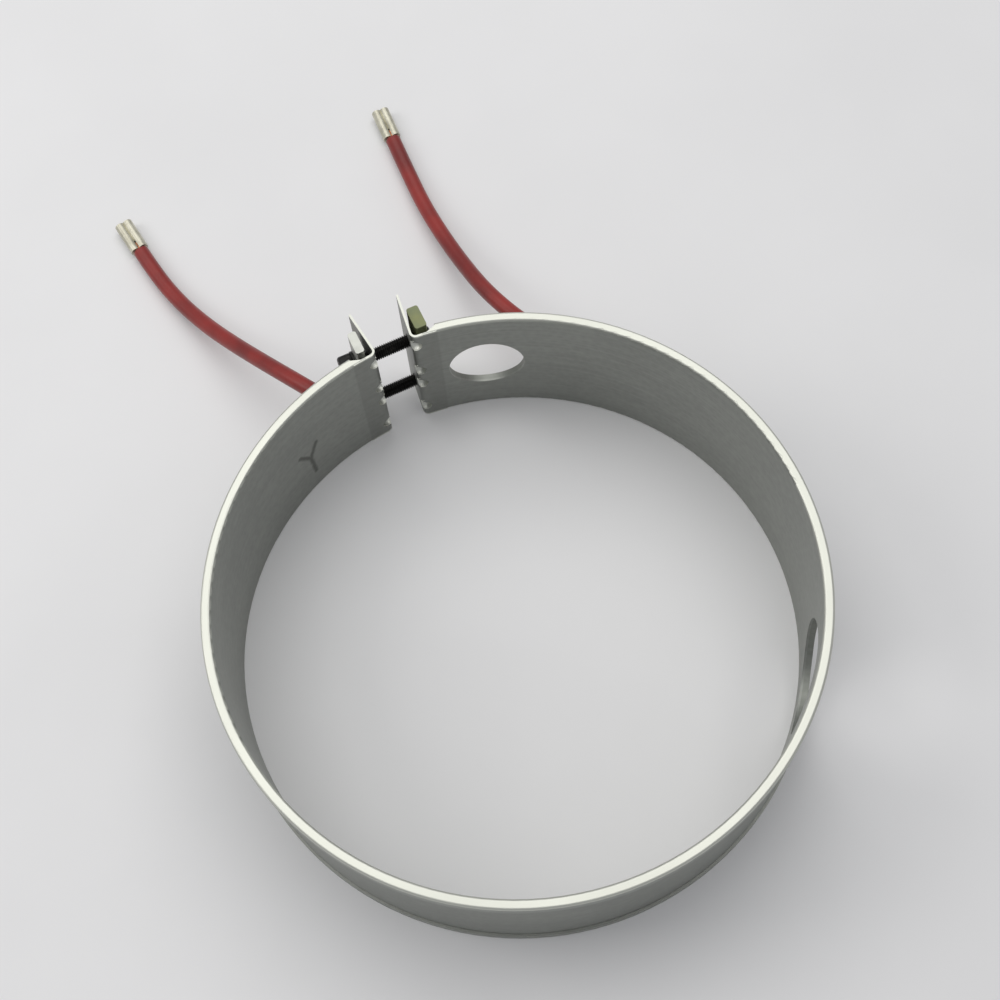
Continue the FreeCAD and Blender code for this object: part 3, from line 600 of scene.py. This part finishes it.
class GeometryTree(NodeMaker):
    """A geometry node tree with named inputs."""

    def __init__(self, name: str, sizes: dict[str, float | int]) -> None:
        """Makes the tree, with an input for each size, a Float or an Int by its type."""
        tree = bpy.data.node_groups.new(name, "GeometryNodeTree")
        super().__init__(tree)
        tree.interface.new_socket(name="Geometry", in_out="INPUT", socket_type="NodeSocketGeometry")
        tree.interface.new_socket(name="Geometry", in_out="OUTPUT", socket_type="NodeSocketGeometry")
        self.sizes = sizes
        for size_name, size in sizes.items():
            kind = "NodeSocketInt" if isinstance(size, int) else "NodeSocketFloat"
            tree.interface.new_socket(name=size_name, in_out="INPUT", socket_type=kind)
        self.entry = tree.nodes.new("NodeGroupInput")
        self.exit = tree.nodes.new("NodeGroupOutput")

    def given(self, name: str) -> Value:
        """One of the tree's inputs."""
        return Value(self.tree, self.entry.outputs[name])

    def close(self, geometry: Value, material: bpy.types.Material) -> None:
        """Ends the tree with real geometry in one material."""
        real = self.node("GeometryNodeRealizeInstances", {}, {0: geometry})
        painted = self.node("GeometryNodeSetMaterial", {}, {"Geometry": real, "Material": material})
        feed(self.tree, self.exit.inputs[0], painted)

    def apply(self, made: bpy.types.Object) -> bpy.types.Mesh:
        """Runs the tree on an object.

        Args:
            made: the object that the tree starts from.

        Returns:
            The finished mesh; the object keeps no modifier.
        """
        modifier = made.modifiers.new("shape", "NODES")
        modifier.node_group = self.tree
        for item in self.tree.interface.items_tree:
            if item.in_out == "INPUT" and item.name in self.sizes:
                modifier[item.identifier] = self.sizes[item.name]
        mesh = evaluated(made)
        made.modifiers.remove(modifier)
        return mesh


def thread_tree(sizes: dict[str, float | int]) -> GeometryTree:
    """A threaded rod along X: a sheet of points rolled up, whose radius follows the thread, with closed ends.

    Args:
        sizes: Crest, Root, Pitch, Start, Length and Runout in metres, and the counts Round and Rows.

    Returns:
        The tree.
    """
    tree = GeometryTree("screw_thread", sizes)
    crest, root, pitch, start, length, runout = (
        tree.given(name) for name in ("Crest", "Root", "Pitch", "Start", "Length", "Runout"))
    around = tree.given("Round")
    sheet = tree.node("GeometryNodeMeshGrid", {}, {
        "Size X": 1.0, "Size Y": 1.0, "Vertices X": around + 1.0, "Vertices Y": tree.given("Rows")})
    across, lengthwise, _ = tree.split(tree.node("GeometryNodeInputPosition"))
    share = across + 0.5
    along = (lengthwise + 0.5) * length
    phase = (along / pitch + share).math("FRACT")
    root_flat, slope = 0.12, 1.35
    flank = ((1.0 - abs(phase * 2.0 - 1.0) - root_flat) * slope).clamped()
    ends = (along / runout).least((length - along) / runout).clamped()
    radius = root + (crest - root) * flank * ends
    turn = share * TAU
    rolled = tree.node("ShaderNodeCombineXYZ", {}, {
        0: start + along, 1: radius * turn.math("COSINE"), 2: radius * turn.math("SINE")})
    wall = tree.node("GeometryNodeSetPosition", {}, {"Geometry": sheet, "Position": rolled})
    joined = tree.tree.nodes.new("GeometryNodeJoinGeometry")
    tree.tree.links.new(wall.socket, joined.inputs[0])
    for at in (start, start + length):
        disc = tree.node("GeometryNodeMeshCircle", {"fill_type": "TRIANGLE_FAN"},
                         {"Vertices": around, "Radius": root})
        flat_x, flat_y, _ = tree.split(tree.node("GeometryNodeInputPosition"))
        stood = tree.node("ShaderNodeCombineXYZ", {}, {0: at, 1: flat_x, 2: flat_y})
        cap = tree.node("GeometryNodeSetPosition", {}, {"Geometry": disc, "Position": stood})
        tree.tree.links.new(cap.socket, joined.inputs[0])
    whole = tree.node("GeometryNodeMergeByDistance", {}, {
        "Geometry": Value(tree.tree, joined.outputs[0]), "Distance": WELD})
    tree.close(whole, Finish.BLACK.material())
    return tree


def strand_tree(sizes: dict[str, float | int]) -> GeometryTree:
    """Round strands along the curves of an object.

    Args:
        sizes: Radius in metres, and the count Round.

    Returns:
        The tree.
    """
    tree = GeometryTree("copper_strands", sizes)
    profile = tree.node("GeometryNodeCurvePrimitiveCircle", {},
                        {"Resolution": tree.given("Round"), "Radius": tree.given("Radius")})
    swept = tree.node("GeometryNodeCurveToMesh", {},
                      {"Curve": tree.given("Geometry"), "Profile Curve": profile, "Fill Caps": True})
    tree.close(swept, Finish.COPPER.material())
    return tree


# The heater's sub-assemblies

@dataclass
class Band:
    """The clamped band: folded sheath, cover and the heating element between them."""

    nodes: dict[str, bpy.types.Object]
    finishes: dict[str, Finish] = field(default_factory=lambda: {
        "inner_sheath": Finish.INNER_SHEET, "cover_sheet": Finish.COVER,
        "inner_mica": Finish.MICA, "outer_mica": Finish.MICA, "winding_core": Finish.MICA,
        "resistance_ribbon": Finish.ALLOY, "terminal_left": Finish.ALLOY, "terminal_right": Finish.ALLOY,
        "eyelet_left": Finish.EYELET, "eyelet_right": Finish.EYELET,
        "head_bar": Finish.WHITE_ZINC, "nut_bar": Finish.YELLOW_ZINC,
        "washer_upper": Finish.BLACK, "washer_lower": Finish.BLACK})

    def build(self) -> None:
        """Dresses the sheet metal, the element and the bars."""
        for name, finish in self.finishes.items():
            dress(self.nodes[name], finish)


@dataclass
class ClampScrew:
    """A socket head screw along X, with its head towards -X. Its heel and crown are in millimetres."""

    place: str
    seat_x: float
    axis_y: float
    axis_z: float
    crest: float = 2.48 * MM
    root: float = 2.02 * MM
    pitch: float = 0.8 * MM
    length: float = 30.0 * MM
    head_radius: float = 4.25 * MM
    head_height: float = 5.0 * MM
    knurl_depth: float = 0.09 * MM
    teeth: int = 48
    knurl_foot: float = 0.35 * MM
    knurl_end: float = 0.75 * MM
    side_inset: float = 0.12 * MM
    heel: Outline = ((0.0, 0.1), (-0.15, 0.0))
    crown: Outline = ((0.5, 0.0), (0.12, 0.32), (0.0, 0.5))
    flats: float = 4.0 * MM
    mouth_share: float = 1.27
    mouth_depth: float = 0.22 * MM
    socket_depth: float = 2.5 * MM
    socket_point: float = 0.6 * MM
    sunk: float = 0.3 * MM
    runout: float = 0.7 * MM
    around: int = 48
    rows_per_pitch: int = 8

    def shank(self) -> bpy.types.Mesh:
        """The threaded shank, from just inside the head to the tip."""
        start = -self.sunk
        length = self.length - start
        tree = thread_tree({"Crest": self.crest, "Root": self.root, "Pitch": self.pitch, "Start": start,
                            "Length": length, "Runout": self.runout, "Round": self.around,
                            "Rows": int(length / self.pitch * self.rows_per_pitch)})
        seed_mesh = bpy.data.meshes.new("shank_seed")
        holder = new_object("shank_seed", seed_mesh)
        mesh = tree.apply(holder)
        bpy.data.objects.remove(holder)
        return mesh

    def add_head(self, work: bmesh.types.BMesh) -> None:
        """The knurled head with its hexagon socket, added to a mesh."""
        count = self.teeth * 4
        turns = [TAU * number / count for number in range(count)]

        def circle(x: float, radius: float) -> list[bmesh.types.BMVert]:
            return ring(work, (Vector((x, radius * math.cos(t), radius * math.sin(t))) for t in turns))

        def knurled(x: float) -> list[bmesh.types.BMVert]:
            points = []
            for number, t in enumerate(turns):
                radius = self.head_radius - (self.knurl_depth if number % 4 in (2, 3) else 0.0)
                points.append(Vector((x, radius * math.cos(t), radius * math.sin(t))))
            return ring(work, points)

        def hexagon(x: float) -> list[bmesh.types.BMVert]:
            points = []
            for t in turns:
                off_flat = (t + math.pi / 6) % (math.pi / 3) - math.pi / 6
                radius = self.flats / 2 / math.cos(off_flat)
                points.append(Vector((x, radius * math.cos(t), radius * math.sin(t))))
            return ring(work, points)

        top = -self.head_height
        floor = top + self.socket_depth
        edge = self.head_radius - self.side_inset
        rings = [circle(height * MM, edge - inset * MM) for height, inset in self.heel]
        rings += [knurled(-self.knurl_foot), knurled(top + self.knurl_end)]
        rings += [circle(top + height * MM, edge - inset * MM) for height, inset in self.crown]
        rings += [circle(top, self.flats / 2 * self.mouth_share)]
        rings += [hexagon(top + self.mouth_depth), hexagon(floor)]
        for first, second in zip(rings, rings[1:]):
            bridge(work, first, second)
        for last, x in ((rings[0], 0.0), (rings[-1], floor + self.socket_point)):
            pole = work.verts.new(Vector((x, 0.0, 0.0)))
            for number in range(count):
                work.faces.new((last[number], last[(number + 1) % count], pole))

    def build(self) -> bpy.types.Object:
        """Makes the whole screw in place of its plain solid."""
        work = bmesh.new()
        work.from_mesh(self.shank())
        self.add_head(work)
        bmesh.ops.recalc_face_normals(work, faces=work.faces)
        work.transform(Matrix.Translation((self.seat_x, self.axis_y, self.axis_z)))
        mesh = bpy.data.meshes.new(f"screw_{self.place}_detail")
        work.to_mesh(mesh)
        work.free()
        mesh.materials.clear()
        mesh.materials.append(Finish.BLACK.material())
        mesh.set_sharp_from_angle(angle=math.radians(35))
        made = new_object(f"threaded_screw_{self.place}", mesh)
        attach(made, f"screw_{self.place}_body")
        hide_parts(f"screw_{self.place}")
        log.info("%s: %d faces", made.name, len(mesh.polygons))
        return made


@dataclass
class Lead:
    """A silicone lead on its route, with the strands that it ends in. Points are in millimetres."""

    side: str
    route: tuple[Point, ...]
    length: float
    diameter: float = 6.2 * MM
    conductor: float = 1.5 * MM
    bare: float = 1.2 * MM
    hidden: float = 3.0 * MM
    turns_per_metre: float = 45.0
    strand_share: float = 0.19
    layers: tuple[tuple[float, int], ...] = ((0.0, 1), (2.05, 6), (4.1, 12))
    strand_steps: int = 12

    def points(self) -> list[Vector]:
        """The route in metres."""
        return [Vector(point) * MM for point in self.route]

    def insulation(self) -> bpy.types.Object:
        """The lead's insulation as one smooth cord."""
        curve = bpy.data.curves.new(f"lead_{self.side}_line", "CURVE")
        curve.dimensions = "3D"
        spline = curve.splines.new("NURBS")
        points = self.points()
        spline.points.add(len(points) - 1)
        for slot, point in zip(spline.points, points):
            slot.co = (*point, 1.0)
        spline.order_u = 3
        spline.use_endpoint_u = True
        spline.resolution_u = 16
        curve.bevel_depth = self.diameter / 2
        curve.bevel_resolution = 8
        curve.use_fill_caps = True
        curve.materials.append(Finish.SILICONE.material())
        return new_object(f"silicone_lead_{self.side}", curve)

    def strands(self) -> bpy.types.Object:
        """The bare twisted strands between the insulation and the crimp."""
        points = self.points()
        end = points[-1]
        along = (points[-1] - points[-2]).normalized()
        across = along.cross(Vector((0, 0, 1))).normalized()
        up = across.cross(along)
        strand = self.conductor * self.strand_share
        curve = bpy.data.curves.new("strand_lines", "CURVE")
        curve.dimensions = "3D"
        reach = self.bare + 2 * self.hidden
        for share, count in self.layers:
            radius = strand * share
            for number in range(count):
                spline = curve.splines.new("POLY")
                spline.points.add(self.strand_steps)
                for step, slot in enumerate(spline.points):
                    distance = reach * step / self.strand_steps
                    turn = TAU * (number / count + distance * self.turns_per_metre)
                    offset = across * (radius * math.cos(turn)) + up * (radius * math.sin(turn))
                    slot.co = (*(end + along * (distance - self.hidden) + offset), 1.0)
        holder = new_object("strand_lines", curve)
        mesh = strand_tree({"Radius": strand, "Round": 10}).apply(holder)
        bpy.data.objects.remove(holder)
        for polygon in mesh.polygons:
            polygon.use_smooth = True
        made = new_object(f"strands_{self.side}", mesh)
        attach(made, "band")
        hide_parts(f"conductor_{self.side}")
        return made

    def build(self, nodes: dict[str, bpy.types.Object]) -> None:
        """Lays the lead and dresses its crimp."""
        dress(nodes[f"crimp_{self.side}"], Finish.TINNED)
        strands = self.strands()
        made = self.insulation()
        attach(made, "band")
        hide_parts(f"lead_{self.side}")
        log.info("%s: %.0f mm", made.name, self.length / MM)


# Studio

@dataclass(frozen=True)
class Studio:
    """Table, lamps, sky and camera."""

    eye: Point = (-0.0630, -0.16584, 0.5387)
    right: Point = (0.90562, -0.42242, -0.03759)
    up: Point = (0.40133, 0.82500, 0.39790)
    lens: float = 56.16
    aim: Point = (0.0, 0.03, 0.03)
    table_reach: float = 3.0
    table_drop: float = 0.00005
    sky: Colour = (0.86, 0.87, 0.90)
    sky_strength: float = 0.45

    def camera(self) -> None:
        """Sets the camera over the front of the band."""
        data = bpy.data.cameras.new("camera")
        data.lens = self.lens
        data.sensor_width = 36.0
        data.clip_start, data.clip_end = 0.01, 20.0
        made = new_object("camera", data)
        right, up = Vector(self.right).normalized(), Vector(self.up).normalized()
        back = right.cross(up).normalized()
        up = back.cross(right)
        matrix = Matrix((right, up, back)).transposed().to_4x4()
        matrix.translation = Vector(self.eye)
        made.matrix_world = matrix
        bpy.context.scene.camera = made

    def lamp(self, name: str, place: Point, size: float, power: float, colour: Colour) -> None:
        """Adds a square lamp that faces the band."""
        data = bpy.data.lights.new(name, "AREA")
        data.size = size
        data.energy = power
        data.color = colour
        made = new_object(name, data)
        made.location = place
        aim = Vector(self.aim) - Vector(place)
        made.rotation_mode = "QUATERNION"
        made.rotation_quaternion = aim.to_track_quat("-Z", "Y")

    def table(self) -> None:
        """Lays the table, a whisker under the band."""
        reach, level = self.table_reach, -self.table_drop
        corners = [(-reach, -reach, level), (reach, -reach, level),
                   (reach, reach, level), (-reach, reach, level)]
        mesh = bpy.data.meshes.new("table")
        mesh.from_pydata(corners, [], [(0, 1, 2, 3)])
        mesh.materials.append(Finish.TABLE.material())
        new_object("table", mesh)

    def build(self) -> None:
        """Makes the whole studio."""
        scene = bpy.context.scene
        scene.view_settings.view_transform = "Standard"
        world = scene.world or bpy.data.worlds.new("sky")
        scene.world = world
        world.use_nodes = True
        background = world.node_tree.nodes["Background"]
        background.inputs["Color"].default_value = (*self.sky, 1.0)
        background.inputs["Strength"].default_value = self.sky_strength
        self.camera()
        self.table()
        self.lamp("key_lamp", place=(0.12, 0.42, 1.25), size=1.6, power=11.5, colour=(1.0, 0.99, 0.96))
        self.lamp("side_lamp", place=(-0.9, 0.5, 0.8), size=0.6, power=3.0, colour=(1.0, 0.98, 0.95))


# The leads' routes in millimetres, and where the screws are and how long the leads are in metres.
LEFT_ROUTE: tuple[Point, ...] = (
    (-25.607, 99.043, 30.0), (-28.035, 108.435, 30.0), (-34.735, 120.835, 27.6), (-41.635, 135.535, 22.0),
    (-48.635, 151.735, 15.0), (-55.335, 168.035, 9.0), (-61.335, 185.135, 5.0), (-65.635, 202.735, 3.3),
    (-67.635, 216.935, 3.3))
RIGHT_ROUTE: tuple[Point, ...] = (
    (53.471, 87.213, 30.0), (58.541, 95.483, 30.0), (55.5, 106.5, 20.5), (51.4, 117.5, 18.0),
    (47.541, 132.383, 15.2), (45.941, 149.383, 10.2), (44.841, 166.783, 6.7), (44.341, 184.983, 4.4),
    (45.241, 204.183, 3.3), (46.141, 221.383, 3.3))
LEFT_LENGTH, RIGHT_LENGTH = 0.1297, 0.1421
SCREW_HEIGHTS = {"upper": 0.045, "lower": 0.015}
SCREW_AXIS_Y = 0.108


def main() -> None:
    """Builds the heater and its studio."""
    logging.basicConfig(level=logging.INFO, format="%(message)s")
    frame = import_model()
    nodes = frame["nodes"]
    Studio().build()
    Lead("left", LEFT_ROUTE, LEFT_LENGTH).build(nodes)
    Lead("right", RIGHT_ROUTE, RIGHT_LENGTH).build(nodes)
    Band(nodes).build()
    for place, height in SCREW_HEIGHTS.items():
        ClampScrew(place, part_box(f"washer_{place}")[0][0], SCREW_AXIS_Y, height).build()


if __name__ == "__main__":
    main()
